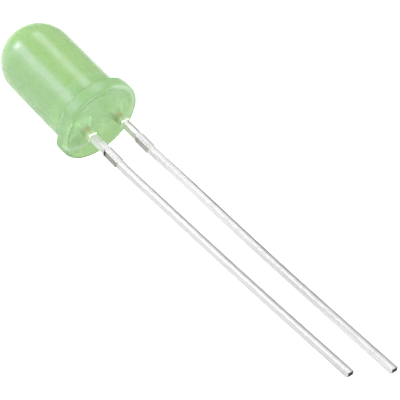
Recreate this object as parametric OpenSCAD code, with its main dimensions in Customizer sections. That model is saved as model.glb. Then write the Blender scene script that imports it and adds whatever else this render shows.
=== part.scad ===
// 5 mm through hole LED with a diffused green case, lying as it comes to rest.
// Sizes are in millimetres. Each piece is drawn upright, with the dome up, the flange base at z = 0,
// the cathode at -X and the anode at +X, and settled() then lays the whole part down.

/* [Case] */
// Diameter of the round body and its dome
body_d = 5; // [4.6:0.1:5.6]
// Height from the flange base to the tip of the dome
case_h = 8.9; // [7.8:0.1:11]
// Diameter of the flange
flange_d = 6; // [5.8:0.1:6.6]
// Thickness of the flange
flange_t = 1; // [0.7:0.1:1.6]
// How far the cathode flat stands outside the body
flat_step = 0.05; // [0.02:0.01:0.15]
// Rounding of the two edges of the flange
rim_r = 0.12; // [0.05:0.01:0.2]
// Fillet between the body and the flange
shoulder_r = 0.2; // [0.1:0.05:0.25]

/* [Base] */
// Width of the flat lip that the mould leaves round the base
lip_w = 0.3; // [0.2:0.05:0.45]
// Depth of the dish that the shrinking epoxy leaves inside the lip
dish_depth = 0.3; // [0.15:0.05:0.4]
// Radius of the concave wall of the dish
dish_r = 1.4; // [1.1:0.05:1.8]
// How far the epoxy creeps down each lead from the floor of the dish
creep_h = 0.5; // [0.3:0.05:0.6]
// Radius of the concave skirt of the epoxy round each lead
creep_r = 0.62; // [0.61:0.01:0.8]
// How much further a film of epoxy follows each lead below its skirt
film_l = 0.55; // [0.2:0.05:0.9]

/* [Leads] */
// Distance between the two leads
pitch = 2.54; // [2.2:0.01:2.8]
// Width of a lead
lead_w = 0.46; // [0.4:0.02:0.6]
// Thickness of the sheet that the leads are stamped from
lead_t = 0.46; // [0.4:0.02:0.6]
// Length of the cathode lead below the flange base
cathode_l = 25.4; // [12:0.1:30]
// How much longer the anode lead is
anode_extra = 1.2; // [0.6:0.1:3]
// Distance from the flange base to the remains of the tie bar
tie_gap = 2.2; // [1.5:0.05:3]
// Length of the remains of the tie bar along the lead
tie_l = 1.3; // [0.8:0.05:2]
// Width of the lead across the remains of the tie bar
tie_w = 0.6; // [0.56:0.02:0.8]
// Angle by which both leads lean out of their own plane
lead_lean = 4.2; // [0.5:0.1:5.5]
// Inner radius of the bend below the tie bar
bend_r = 1.2; // [0.8:0.1:3]
// Rounding that the cutter leaves on the upper edge of each lead tip
tip_roll = 0.14; // [0.06:0.02:0.2]

/* [Cup and anvil] */
// Height of the rim of the reflector cup above the flange base
cup_z = 4.3; // [3.9:0.1:5.2]
// Outer diameter of the coined head that holds the cup
head_d = 1.3; // [1.2:0.02:1.44]
// Diameter of the cup at its rim
cup_d = 1.06; // [0.9:0.02:1.1]
// Diameter of the flat floor of the cup
cup_floor_d = 0.64; // [0.6:0.02:0.7]
// Depth of the cup
cup_depth = 0.38; // [0.3:0.02:0.45]
// Height of the coined head, with its tapered neck
head_h = 1; // [0.8:0.05:1.2]
// Height of the tapered neck
neck_h = 0.4; // [0.2:0.05:0.5]
// Width of the neck where it meets the anvil
neck_d = 0.7; // [0.6:0.02:0.8]
// Height at which the anvil starts to widen
anvil_z = 1.3; // [0.9:0.05:1.6]
// Height that the slanting inner edge of the anvil takes
anvil_rise = 1.1; // [0.8:0.05:1.4]

/* [Post] */
// Clear distance between the head and the ledge of the anode post
ledge_gap = 0.2; // [0.12:0.02:0.3]
// How far the ledge lies below the rim of the cup
ledge_drop = 0.1; // [0.05:0.05:0.2]
// Thickness of the nose of the ledge
ledge_t = 0.35; // [0.25:0.05:0.5]
// Height of the slanting underside of the ledge
ledge_rise = 0.55; // [0.3:0.05:0.8]
// Size of the slanted outer corner of the post
post_corner = 0.2; // [0.1:0.02:0.3]

/* [Chip] */
// Side of the square chip
chip_w = 0.28; // [0.22:0.01:0.32]
// Height of the chip
chip_h = 0.2; // [0.12:0.01:0.24]
// Diameter of the metal contact on top of the chip
contact_d = 0.12; // [0.11:0.01:0.16]
// Thickness of that contact
contact_t = 0.01; // [0.01:0.005:0.02]
// Thickness of the adhesive under the chip
glue_t = 0.02; // [0.02:0.005:0.04]
// How far the adhesive climbs the sides of the chip
glue_climb = 0.04; // [0.02:0.005:0.06]
// Diameter of the adhesive on the floor of the cup
glue_d = 0.56; // [0.5:0.01:0.58]
// Diameter of the adhesive where it ends on the chip
glue_top_d = 0.46; // [0.46:0.01:0.48]

/* [Bond wire] */
// Diameter of the wire
wire_d = 0.03; // [0.025:0.005:0.04]
// Diameter of the flattened ball on the chip
ball_d = 0.09; // [0.08:0.01:0.1]
// Height of the flattened ball
ball_h = 0.03; // [0.02:0.005:0.04]
// Clear height of the wire over the rim of the coined head
wire_clear = 0.05; // [0.03:0.01:0.15]
// Radius of the loop over the edge of the cup
loop_r = 0.15; // [0.1:0.01:0.2]
// Distance from the nose of the ledge to the stitch
stitch_in = 0.2; // [0.12:0.01:0.25]
// Diameter of the flattened stitch
stitch_d = 0.08; // [0.06:0.01:0.1]
// Height of the flattened stitch
stitch_h = 0.02; // [0.015:0.005:0.025]

/* [Hidden] */
round_fn = 96;
small_fn = 32;
bend_fn = 384;
past = 0.1;
film_t = 0.03;
neck_step = 0.05;
settle_turns = 8;

case_green = [0.66, 0.81, 0.62];
lead_silver = [0.80, 0.80, 0.79];
chip_amber = [0.72, 0.60, 0.24];
glue_silver = [0.62, 0.62, 0.64];
wire_gold = [0.86, 0.68, 0.30];

body_r = body_d / 2;
flange_r = flange_d / 2;
case_r = max(body_r, flange_r);
fillet_r = min(shoulder_r, flange_r - rim_r - body_r);
flat_x = body_r + flat_step;
dome_z = case_h - body_r;
dish_wall_w = sqrt(pow(dish_r, 2) - pow(dish_r - dish_depth, 2));
dish_floor_r = flange_r - lip_w - dish_wall_w;
corner_r = sqrt(pow(lead_w, 2) + pow(lead_t, 2)) / 2 + film_t;

cathode_x = -pitch / 2;
anode_x = pitch / 2;
anode_l = cathode_l + anode_extra;
tie_end = tie_gap + tie_l;
bend_z = tie_end + lead_w / 2;
bend_mid_r = bend_r + lead_t / 2;
bend_l = bend_mid_r * lead_lean * PI / 180;

head_r = head_d / 2;
head_z = cup_z - head_h;
cup_floor_z = cup_z - cup_depth;
plate_over = 0.15;
anvil_side = neck_d / 2 - neck_step;
ledge_x = head_r + ledge_gap;
ledge_z = cup_z - ledge_drop;

chip_z = cup_floor_z + glue_t;
chip_top = chip_z + chip_h;
ball_z = chip_top + contact_t;
stitch_x = ledge_x + stitch_in;
stitch_z = ledge_z + wire_d / 2;
wire_fall = atan((cup_z + wire_clear + wire_d / 2 - stitch_z) / (stitch_x - head_r));
loop_z = stitch_z + (stitch_x - loop_r) * tan(wire_fall) - loop_r / cos(wire_fall);
wire_rise = loop_z - ball_z - ball_h;
wire_run = (stitch_x - loop_r) / cos(wire_fall) - loop_r * tan(wire_fall);

// Place of the middle of a lead's tip, along the axis and out of the plane of the leads
function run_l(l) = l - bend_z - bend_l;
function tip_along(l) = bend_z + bend_mid_r * sin(lead_lean) + run_l(l) * cos(lead_lean);
function tip_out(l) = bend_mid_r * (1 - cos(lead_lean)) + run_l(l) * sin(lead_lean);

// The part rests on the rim of its flange and on the lower edge of both lead tips.
// The lean towards the tips follows from the roll, and the roll from the lean, so they are found in turns.
low_along = tip_along(cathode_l) + lead_t / 2 * sin(lead_lean);
low_out = tip_out(cathode_l) - lead_t / 2 * cos(lead_lean);
low_side = cathode_x - lead_w / 2;
rim_mid = case_r - rim_r;
function low_after(roll) = low_side * sin(roll) + low_out * cos(roll) + rim_mid;
function tilt_for(roll) = atan(low_after(roll) / (low_along + rim_r))
    + asin(rim_r / sqrt(pow(low_after(roll), 2) + pow(low_along + rim_r, 2)));
extra_out = anode_extra * sin(lead_lean);
extra_along = anode_extra * cos(lead_lean);
function roll_for(tilt) = asin(extra_along * tan(tilt) / sqrt(pow(pitch, 2) + pow(extra_out, 2)))
    - atan(extra_out / pitch);
function settle(roll, turns) = turns == 0 ? roll : settle(roll_for(tilt_for(roll)), turns - 1);
rest_roll = settle(0, settle_turns);
rest_tilt = tilt_for(rest_roll);
rest_lift = rim_mid * cos(rest_tilt) + rim_r - rim_r * sin(rest_tilt);

// Middle of the settled part, so that its origin lies under the middle of its box
far_along = tip_along(anode_l) - lead_t / 2 * sin(lead_lean);
far_up = (anode_x + lead_w / 2) * sin(rest_roll)
    + (tip_out(anode_l) + lead_t / 2 * cos(lead_lean)) * cos(rest_roll);
x_high = far_along * cos(rest_tilt) + far_up * sin(rest_tilt);
x_low = -dome_z * cos(rest_tilt) - body_r;
flat_half = flat_x < case_r ? sqrt(pow(case_r, 2) - pow(flat_x, 2)) : 0;
y_low = flat_half > 0 ? -flat_x * cos(rest_roll) - flat_half * sin(rest_roll) : -case_r;
mid_x = (x_high + x_low) / 2;
mid_y = (case_r + y_low) / 2;

// Lays an upright piece down as the part comes to rest, with the leads towards +X
module settled() {
    translate([-mid_x, -mid_y, rest_lift])
        rotate([0, rest_tilt, 0])
            rotate([rest_roll, 0, 0])
                rotate([-90, 0, 90])
                    children();
}

// Half section of the case: body, dome, rounded flange and the fillet between them
module case_section() {
    square([body_r, dome_z]);
    translate([0, dome_z])
        intersection() {
            circle(body_r, $fn = round_fn);
            square(body_r);
        }
    translate([0, rim_r])
        square([flange_r, flange_t - 2 * rim_r]);
    square([flange_r - rim_r, flange_t]);
    for (z = [rim_r, flange_t - rim_r])
        translate([flange_r - rim_r, z])
            circle(rim_r, $fn = small_fn);
    if (fillet_r > 0)
        difference() {
            translate([body_r - past, flange_t - past])
                square(fillet_r + past);
            translate([body_r + fillet_r, flange_t + fillet_r])
                circle(fillet_r, $fn = small_fn);
        }
}

// Half section of the dish in the base
module dish_section() {
    translate([0, -past])
        square([dish_floor_r, dish_depth + past]);
    intersection() {
        translate([dish_floor_r, dish_depth - dish_r])
            circle(dish_r, $fn = round_fn);
        translate([dish_floor_r - past, -past])
            square([dish_r + past, dish_depth + past]);
    }
}

// Concave skirt of epoxy that creeps down one lead, and the film below it
module creep(x) {
    translate([x, 0, dish_depth - creep_h])
        rotate_extrude($fn = small_fn) {
            difference() {
                square([corner_r + creep_r, creep_h + past]);
                translate([corner_r + creep_r, 0])
                    circle(creep_r, $fn = round_fn);
                translate([corner_r + creep_r - sqrt(pow(creep_r, 2) - pow(creep_h, 2)), creep_h])
                    square([creep_r, past * 2]);
            }
            translate([0, -film_l])
                square([corner_r, film_l + past]);
        }
}

// Case before the sealed pieces are taken out of it
module case_solid() {
    difference() {
        rotate_extrude($fn = round_fn)
            difference() {
                case_section();
                dish_section();
            }
        translate([-case_r - past, -case_r, -past])
            cube([case_r - flat_x + past, case_r * 2, flange_t + shoulder_r + past]);
    }
    creep(cathode_x);
    creep(anode_x);
}

module epoxy_case() {
    color(case_green)
        settled()
            difference() {
                case_solid();
                cathode_plate();
                cup_head();
                anode_plate();
                glue_shape();
                chip_shape();
                wire_shape();
            }
}

// Turns a flat outline into stamped sheet that stands in the plane of the leads
module stamped() {
    rotate([90, 0, 0])
        linear_extrude(height = lead_t, center = true)
            children();
}

// Straight strip of a lead down to its bend, with the remains of the tie bar
module strip(x, top) {
    translate([x - lead_w / 2, -bend_z])
        square([lead_w, bend_z + top]);
    translate([x - tie_w / 2, -tie_end])
        square([tie_w, tie_l]);
}

module cathode_plate() {
    stamped() {
        strip(cathode_x, anvil_z);
        polygon([
            [cathode_x - lead_w / 2, anvil_z - past],
            [cathode_x + lead_w / 2, anvil_z - past],
            [cathode_x + lead_w / 2, anvil_z],
            [anvil_side, anvil_z + anvil_rise],
            [anvil_side, head_z + plate_over],
            [-anvil_side, head_z + plate_over],
            [cathode_x - lead_w / 2, anvil_z + anvil_rise]
        ]);
    }
}

// Coined round head with the reflector cup, on the axis of the dome
module cup_head() {
    rotate_extrude($fn = round_fn)
        polygon([
            [0, head_z],
            [neck_d / 2, head_z],
            [head_r, head_z + neck_h],
            [head_r, cup_z],
            [cup_d / 2, cup_z],
            [cup_floor_d / 2, cup_floor_z],
            [0, cup_floor_z]
        ]);
}

module anode_plate() {
    stamped() {
        strip(anode_x, anvil_z);
        polygon([
            [anode_x - lead_w / 2, anvil_z - past],
            [anode_x + lead_w / 2, anvil_z - past],
            [anode_x + lead_w / 2, ledge_z - post_corner],
            [anode_x + lead_w / 2 - post_corner, ledge_z],
            [ledge_x, ledge_z],
            [ledge_x, ledge_z - ledge_t],
            [anode_x - lead_w / 2, ledge_z - ledge_t - ledge_rise]
        ]);
    }
}

// Bend and leaning run of a lead, cut square at its tip with one rolled edge
module leaning_run(x, l) {
    translate([x, -bend_mid_r, -bend_z]) {
        rotate([90, 0, 90])
            rotate([0, 0, -lead_lean])
                rotate_extrude(angle = lead_lean, $fn = bend_fn)
                    translate([bend_mid_r - lead_t / 2, -lead_w / 2])
                        square([lead_t, lead_w]);
        rotate([-lead_lean, 0, 0])
            translate([0, bend_mid_r, -run_l(l)])
                rotate([90, 0, 90])
                    linear_extrude(height = lead_w, center = true)
                        run_side(run_l(l));
    }
}

// Side view of the leaning run, from its tip at the origin upwards
module run_side(h) {
    difference() {
        translate([-lead_t / 2, 0])
            square([lead_t, h]);
        difference() {
            translate([-lead_t / 2 - past, -past])
                square(tip_roll + past);
            translate([-lead_t / 2 + tip_roll, tip_roll])
                circle(tip_roll, $fn = small_fn);
        }
    }
}

module cathode_lead() {
    color(lead_silver)
        settled() {
            cathode_plate();
            cup_head();
            leaning_run(cathode_x, cathode_l);
        }
}

module anode_lead() {
    color(lead_silver)
        settled() {
            anode_plate();
            leaning_run(anode_x, anode_l);
        }
}

module chip_shape() {
    translate([-chip_w / 2, -chip_w / 2, chip_z])
        cube([chip_w, chip_w, chip_h]);
    translate([0, 0, chip_top - contact_t])
        cylinder(d = contact_d, h = contact_t * 2, $fn = small_fn);
}

module led_chip() {
    color(chip_amber)
        settled()
            chip_shape();
}

module glue_shape() {
    difference() {
        translate([0, 0, cup_floor_z])
            cylinder(d1 = glue_d, d2 = glue_top_d, h = glue_t + glue_climb, $fn = small_fn);
        translate([-chip_w / 2, -chip_w / 2, chip_z])
            cube([chip_w, chip_w, chip_h]);
    }
}

module die_adhesive() {
    color(glue_silver)
        settled()
            glue_shape();
}

// Gold wire from the flattened ball on the chip, over a loop, down to the stitch on the ledge
module wire_shape() {
    translate([0, 0, ball_z])
        cylinder(d = ball_d, h = ball_h, $fn = small_fn);
    translate([0, 0, ball_z + ball_h / 2])
        cylinder(d = wire_d, h = ball_h / 2 + wire_rise, $fn = small_fn);
    translate([loop_r, 0, loop_z])
        rotate([90, 0, 0])
            rotate([0, 0, 90 - wire_fall]) {
                rotate_extrude(angle = 90 + wire_fall, $fn = round_fn)
                    translate([loop_r, 0])
                        circle(d = wire_d, $fn = small_fn);
                translate([loop_r, 0, 0])
                    rotate([90, 0, 0])
                        cylinder(d = wire_d, h = wire_run, $fn = small_fn);
            }
    translate([stitch_x, 0, ledge_z])
        cylinder(d = stitch_d, h = stitch_h, $fn = small_fn);
}

module bond_wire() {
    color(wire_gold)
        settled()
            wire_shape();
}

epoxy_case();
cathode_lead();
anode_lead();
led_chip();
die_adhesive();
bond_wire();
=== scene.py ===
import math

import bmesh
import bpy
from mathutils import Matrix, Vector


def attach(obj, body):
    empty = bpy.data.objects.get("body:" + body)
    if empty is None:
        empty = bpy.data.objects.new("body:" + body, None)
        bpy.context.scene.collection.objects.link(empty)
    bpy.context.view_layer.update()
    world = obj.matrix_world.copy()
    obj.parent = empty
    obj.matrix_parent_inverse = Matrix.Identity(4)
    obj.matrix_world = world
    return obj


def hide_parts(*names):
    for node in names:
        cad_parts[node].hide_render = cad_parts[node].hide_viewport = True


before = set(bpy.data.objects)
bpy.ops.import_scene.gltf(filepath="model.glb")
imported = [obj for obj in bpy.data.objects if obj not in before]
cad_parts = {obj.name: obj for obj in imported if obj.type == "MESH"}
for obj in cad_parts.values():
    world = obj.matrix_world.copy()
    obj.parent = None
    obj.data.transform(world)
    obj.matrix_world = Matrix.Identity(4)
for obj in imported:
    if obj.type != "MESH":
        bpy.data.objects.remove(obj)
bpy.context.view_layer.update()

mm = 0.001

# Pieces are drawn upright in millimetres, with the dome up, the base of the flange at 0, the
# cathode at -X and the anode at +X. restMatrix then lays them down as the part comes to rest.
rest = {"tilt": 9.551221, "roll": 2.562786, "midX": 8.834575, "midY": 0.190943, "lift": 2.940165}


def turned(degrees, axis):
    return Matrix.Rotation(math.radians(degrees), 4, axis)


restTurn = turned(rest["tilt"], "Y") @ turned(rest["roll"], "X") @ turned(90, "Z") @ turned(-90, "X")
restShift = Vector((-rest["midX"], -rest["midY"], rest["lift"])) * mm
restMatrix = Matrix.Translation(restShift) @ restTurn @ Matrix.Scale(mm, 4)


def feed(tree, sockets, feeds):  # each socket takes another socket or a plain value
    for key, value in feeds.items():
        if isinstance(value, bpy.types.NodeSocket):
            tree.links.new(value, sockets[key])
        else:
            sockets[key].default_value = value


def put(tree, kind, feeds=None, **settings):
    node = tree.nodes.new(kind)
    for key, value in settings.items():
        setattr(node, key, value)
    feed(tree, node.inputs, feeds or {})
    return node


def maths(tree, operation, first, *others):  # more than two values are taken in turn
    if not others:
        return put(tree, "ShaderNodeMath", {0: first}, operation=operation).outputs[0]
    for other in others:
        first = put(tree, "ShaderNodeMath", {0: first, 1: other}, operation=operation).outputs[0]
    return first


def plus(tree, *values):
    return maths(tree, "ADD", *values)


def minus(tree, *values):
    return maths(tree, "SUBTRACT", *values)


def times(tree, *values):
    return maths(tree, "MULTIPLY", *values)


def larger(tree, *values):
    return maths(tree, "MAXIMUM", *values)


def distance(tree, value):
    return maths(tree, "ABSOLUTE", value)


def vectors(tree, operation, *values, scale=None):
    feeds = dict(enumerate(values))
    if scale is not None:
        feeds["Scale"] = scale
    output = "Value" if operation in ("LENGTH", "DOT_PRODUCT") else "Vector"
    return put(tree, "ShaderNodeVectorMath", feeds, operation=operation).outputs[output]


def partsOf(tree, vector):
    return put(tree, "ShaderNodeSeparateXYZ", {0: vector}).outputs


def joined(tree, x, y, z):
    return put(tree, "ShaderNodeCombineXYZ", {0: x, 1: y, 2: z}).outputs[0]


def newTree(name, kind, takes, gives):
    tree = bpy.data.node_groups.new(name, kind)
    for label, socketType, value in takes:
        socket = tree.interface.new_socket(label, in_out="INPUT", socket_type="NodeSocket" + socketType)
        if value is not None:
            socket.default_value = value
    for label, socketType in gives:
        tree.interface.new_socket(label, in_out="OUTPUT", socket_type="NodeSocket" + socketType)
    return tree, tree.nodes.new("NodeGroupInput").outputs, tree.nodes.new("NodeGroupOutput").inputs


def newShapeTree(name, takes):
    return newTree(name, "GeometryNodeTree", takes + [("Finish", "Material", None)], [("Geometry", "Geometry")])


def sampled(tree, source, value, index):
    return put(tree, "GeometryNodeSampleIndex", {0: source, 1: value, "Index": index},
               data_type="FLOAT_VECTOR", domain="POINT").outputs[0]


def pointsIn(tree, curve):
    return put(tree, "GeometryNodeAttributeDomainSize", {0: curve}, component="CURVE").outputs[0]


# Swept pieces are grids with a column for each point of a curve. These are the number of columns,
# and the column and the row of each point of the grid.
def stationsOf(tree, curve):
    count = pointsIn(tree, curve)
    index = put(tree, "GeometryNodeInputIndex").outputs[0]
    column = maths(tree, "MODULO", index, count)
    row = maths(tree, "FLOOR", maths(tree, "DIVIDE", index, count))
    return count, column, row


def endTree(tree, geometry, finish, gives):
    real = put(tree, "GeometryNodeRealizeInstances", {0: geometry}).outputs[0]
    feed(tree, gives, {0: put(tree, "GeometryNodeSetMaterial", {0: real, "Material": finish}).outputs[0]})


def endGridTree(tree, rows, columns, place, finish, gives):
    grid = put(tree, "GeometryNodeMeshGrid", {"Vertices X": rows, "Vertices Y": columns}).outputs[0]
    moved = put(tree, "GeometryNodeSetPosition", {0: grid, "Position": place}).outputs[0]
    merged = put(tree, "GeometryNodeMergeByDistance", {0: moved, "Distance": 0.0004}).outputs[0]
    endTree(tree, merged, finish, gives)


def makeTurnedTree():  # sweeps a profile of radius and height round the upright axis
    tree, takes, gives = newShapeTree("turnedPiece", [
        ("Profile", "Geometry", None), ("Steps", "Int", 96), ("Flat", "Float", 100.0)])
    count, column, row = stationsOf(tree, takes["Profile"])
    here = put(tree, "GeometryNodeInputPosition").outputs[0]
    spot = partsOf(tree, sampled(tree, takes["Profile"], here, column))
    angle = maths(tree, "DIVIDE", times(tree, row, math.tau), takes["Steps"])
    x = times(tree, spot[0], maths(tree, "COSINE", angle))
    x = larger(tree, x, times(tree, takes["Flat"], -1.0))  # the flat is on the cathode's side
    y = times(tree, spot[0], maths(tree, "SINE", angle))
    place = joined(tree, x, y, spot[1])
    endGridTree(tree, plus(tree, takes["Steps"], 1), count, place, takes["Finish"], gives)
    return tree


def makeLeadTree():  # a stamped section along a path, wider at the tie bar and rolled over at its tip
    tree, takes, gives = newShapeTree("stampedLead", [
        ("Path", "Geometry", None), ("Width", "Float", 0.46), ("Thickness", "Float", 0.46),
        ("Rolled Edge", "Float", 0.17), ("Burr Edge", "Float", 0.02), ("Tie Start", "Float", 3.4),
        ("Tie Length", "Float", 1.3), ("Tie Width", "Float", 0.6), ("Tie Slope", "Float", 0.05),
        ("Tip Roll", "Float", 0.14)])
    box = put(tree, "GeometryNodeCurvePrimitiveQuadrilateral",
              {"Width": takes["Width"], "Height": takes["Thickness"]}).outputs[0]
    here = put(tree, "GeometryNodeInputPosition").outputs[0]
    corner = partsOf(tree, here)
    rolled = times(tree, maths(tree, "GREATER_THAN", corner[0], 0.0), maths(tree, "GREATER_THAN", corner[1], 0.0))
    edge = plus(tree, times(tree, rolled, takes["Rolled Edge"]),
                times(tree, minus(tree, 1.0, rolled), takes["Burr Edge"]))
    section = put(tree, "GeometryNodeFilletCurve", {"Curve": box, "Radius": edge, "Count": 6},
                  mode="POLY").outputs[0]
    sides = pointsIn(tree, section)
    count, column, row = stationsOf(tree, takes["Path"])
    around = partsOf(tree, sampled(tree, section, here, maths(tree, "MODULO", row, sides)))
    # Where the station is, which way it heads, and its reach from the start and from the tip
    station = sampled(tree, takes["Path"], here, column)
    heading = sampled(tree, takes["Path"], put(tree, "GeometryNodeInputTangent").outputs[0], column)
    run = put(tree, "GeometryNodeSplineParameter").outputs["Length"]
    whole = put(tree, "GeometryNodeSplineLength").outputs[0]
    ruler = joined(tree, run, minus(tree, whole, run), 0.0)
    reach = partsOf(tree, sampled(tree, takes["Path"], ruler, column))
    across = (1.0, 0.0, 0.0)
    upwards = vectors(tree, "CROSS_PRODUCT", across, heading)
    # The remains of the tie bar rise and fall over a short slope
    halfTie = times(tree, takes["Tie Length"], 0.5)
    fromMiddle = distance(tree, minus(tree, reach[0], plus(tree, takes["Tie Start"], halfTie)))
    inside = maths(tree, "DIVIDE", minus(tree, halfTie, fromMiddle), takes["Tie Slope"])
    share = put(tree, "ShaderNodeClamp", {0: inside}).outputs[0]
    more = times(tree, minus(tree, takes["Tie Width"], takes["Width"]), 0.5)
    x = plus(tree, around[0], times(tree, maths(tree, "SIGN", around[0]), times(tree, share, more)))
    # The upper edge of the tip is rolled over along a quarter round
    left = larger(tree, minus(tree, takes["Tip Roll"], reach[1]), 0.0)
    rise = minus(tree, maths(tree, "POWER", takes["Tip Roll"], 2.0), maths(tree, "POWER", left, 2.0))
    drop = minus(tree, takes["Tip Roll"], maths(tree, "SQRT", larger(tree, rise, 0.0)))
    top = minus(tree, times(tree, takes["Thickness"], 0.5), drop)
    y = maths(tree, "MINIMUM", around[1], top)
    # The first and the last station shrink to a point each and close the ends
    between = times(tree, maths(tree, "GREATER_THAN", column, 0.5),
                    maths(tree, "LESS_THAN", column, minus(tree, count, 1.5)))
    sideways = vectors(tree, "SCALE", across, scale=times(tree, x, between))
    raised = vectors(tree, "SCALE", upwards, scale=times(tree, y, between))
    place = vectors(tree, "ADD", station, vectors(tree, "ADD", sideways, raised))
    endGridTree(tree, plus(tree, sides, 1), count, place, takes["Finish"], gives)
    return tree


def makeRidgeTree():  # the ridges that the shear leaves on both ends of the cut tie bar
    tree, takes, gives = newShapeTree("shearRidges", [
        ("Spots", "Geometry", None), ("Radius", "Float", 0.03), ("Height", "Float", 0.43),
        ("Thinnest", "Float", 0.75), ("Thickest", "Float", 1.2), ("Seed", "Int", 3)])
    rod = put(tree, "GeometryNodeMeshCylinder", {
        "Vertices": 10, "Radius": takes["Radius"], "Depth": takes["Height"]}, fill_type="NGON").outputs[0]
    wobble = put(tree, "FunctionNodeRandomValue", {
        2: takes["Thinnest"], 3: takes["Thickest"], "Seed": takes["Seed"]}, data_type="FLOAT").outputs[1]
    points = put(tree, "GeometryNodeMeshToPoints", {0: takes["Spots"]}).outputs[0]
    rods = put(tree, "GeometryNodeInstanceOnPoints", {
        0: points, "Instance": rod, "Rotation": (math.pi / 2, 0.0, 0.0),
        "Scale": joined(tree, wobble, wobble, 1.0)}).outputs[0]
    endTree(tree, rods, takes["Finish"], gives)
    return tree


def linked(name, data):
    obj = bpy.data.objects.new(name, data)
    bpy.context.scene.collection.objects.link(obj)
    return obj


def polyCurve(points):
    curve = bpy.data.curves.new("path", "CURVE")
    curve.dimensions = "3D"
    spline = curve.splines.new("POLY")
    spline.points.add(len(points) - 1)
    for slot, point in zip(spline.points, points):
        slot.co = (*point, 1.0)
    return curve


def frozen(obj, name):  # the evaluated object as a plain mesh, and the object itself goes
    graph = bpy.context.evaluated_depsgraph_get()
    mesh = bpy.data.meshes.new_from_object(
        obj.evaluated_get(graph), preserve_all_data_layers=True, depsgraph=graph)
    mesh.name = name
    bpy.data.objects.remove(obj)
    return mesh


def grown(name, data, tree, **values):  # tieWidth=0.6 feeds the tree's input "Tie Width"
    obj = linked(name, data)
    modifier = obj.modifiers.new("grow", "NODES")
    modifier.node_group = tree
    for item in tree.interface.items_tree:
        key = item.name.replace(" ", "")
        key = key[0].lower() + key[1:]
        if item.item_type == "SOCKET" and item.in_out == "INPUT" and key in values:
            modifier[item.identifier] = values[key]
    return frozen(obj, name)


def poured(build, mesh):
    build.to_mesh(mesh)
    build.free()
    return mesh


def outward(mesh, closest=0.0003):  # merges doubles, then turns every face outwards
    build = bmesh.new()
    build.from_mesh(mesh)
    bmesh.ops.remove_doubles(build, verts=build.verts, dist=closest)
    bmesh.ops.dissolve_degenerate(build, edges=build.edges, dist=closest)
    bmesh.ops.recalc_face_normals(build, faces=build.faces)
    return poured(build, mesh)


def united(name, mesh, others):
    for other in others:
        obj = linked(name, mesh)
        tool = linked("tool", other)
        modifier = obj.modifiers.new("unite", "BOOLEAN")
        modifier.operation = "UNION"
        modifier.solver = "EXACT"
        modifier.object = tool
        mesh = frozen(obj, name)
        bpy.data.objects.remove(tool)
    return mesh


def arc(middle, radius, start, end, steps):
    turns = [math.radians(start + (end - start) * i / steps) for i in range(steps + 1)]
    return [(middle[0] + radius * math.cos(t), middle[1] + radius * math.sin(t)) for t in turns]


def laidDown(name, mesh, smoothAngle, slot, *nodes):  # the piece in its place, on the body; its slot is not used
    mesh.transform(restMatrix)
    mesh.shade_smooth()
    mesh.set_sharp_from_angle(angle=math.radians(smoothAngle))
    obj = linked(name, mesh)
    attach(obj, "root")
    if nodes:
        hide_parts(*nodes)


turnedPiece = makeTurnedTree()
stampedLead = makeLeadTree()
shearRidges = makeRidgeTree()
print("geometry trees are built")

caseMaterial = bpy.data.materials.new("milkyEpoxy")
plateMaterial = bpy.data.materials.new("tinPlate")
shearMaterial = bpy.data.materials.new("shearedSteel")

# Lengths run down from the base of the flange, and "top" is how far the square lead goes on above it
leadSizes = {
    "pitch": 2.54, "width": 0.46, "thickness": 0.46, "rolledEdge": 0.17, "burrEdge": 0.02,
    "cathodeLength": 25.4, "anodeLength": 26.6, "tieGap": 2.2, "tieLength": 1.3, "tieWidth": 0.6,
    "tieSlope": 0.05, "lean": 4.2, "bendRadius": 1.43, "tipRoll": 0.14, "top": 1.2, "smoothAngle": 32,
    "sidewaysBelow": 0.2, "downwardsBelow": -0.97, "tipReach": 0.1,  # how the sheared faces are told
    # How far each lead strays sideways at a distance below the case, for the cathode (-1) and the anode (1)
    "bows": {
        -1: [(-1.2, 0.0), (1.8, 0.02), (2.2, 0.06), (3.6, 0.06), (4.5, 0.02), (8.0, 0.0), (12.0, -0.03),
             (16.0, -0.03), (20.0, 0.0), (25.4, 0.06)],
        1: [(-1.2, 0.0), (0.0, 0.12), (5.0, 0.13), (8.0, 0.09), (12.0, 0.01), (16.0, -0.03), (20.0, -0.03),
            (26.6, 0.03)]}}


def strayed(side, down):
    bow = leadSizes["bows"][side]
    for (first, low), (last, high) in zip(bow, bow[1:]):
        if down <= last:
            return low + (high - low) * max(down - first, 0.0) / (last - first)
    return bow[-1][1]


def leadPath(side, length):  # stations lie close together where the section changes
    s = leadSizes
    x, lean, slope = side * s["pitch"] / 2, math.radians(s["lean"]), s["tieSlope"]
    tieTop, tieEnd = s["tieGap"], s["tieGap"] + s["tieLength"]
    bendStart = tieEnd + s["width"] / 2
    run = length - bendStart - s["bendRadius"] * lean
    straight = [-s["top"] - 0.001, -s["top"], -0.4, 0.0, 1.0, tieTop]
    straight += [tieTop + slope * k / 4 for k in range(1, 5)] + [tieTop + s["tieLength"] / 2]
    straight += [tieEnd - slope * k / 4 for k in range(4, 0, -1)] + [tieEnd, (tieEnd + bendStart) / 2]
    points = [(x, 0.0, -down) for down in straight]
    bend = [lean * k / 6 for k in range(7)]
    points += [(x, -s["bendRadius"] * (1 - math.cos(t)), -bendStart - s["bendRadius"] * math.sin(t)) for t in bend]
    leaning = [run * k / 12 for k in range(1, 12)]
    leaning += [run - s["tipRoll"] * (1 - math.cos(math.radians(a))) for a in (90, 75, 60, 45, 30, 15)]
    leaning += [run - 0.001, run]
    start = points[-1]
    points += [(x, start[1] - d * math.sin(lean), start[2] - d * math.cos(lean)) for d in leaning]
    return [(px + strayed(side, -pz), py, pz) for px, py, pz in points]


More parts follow.
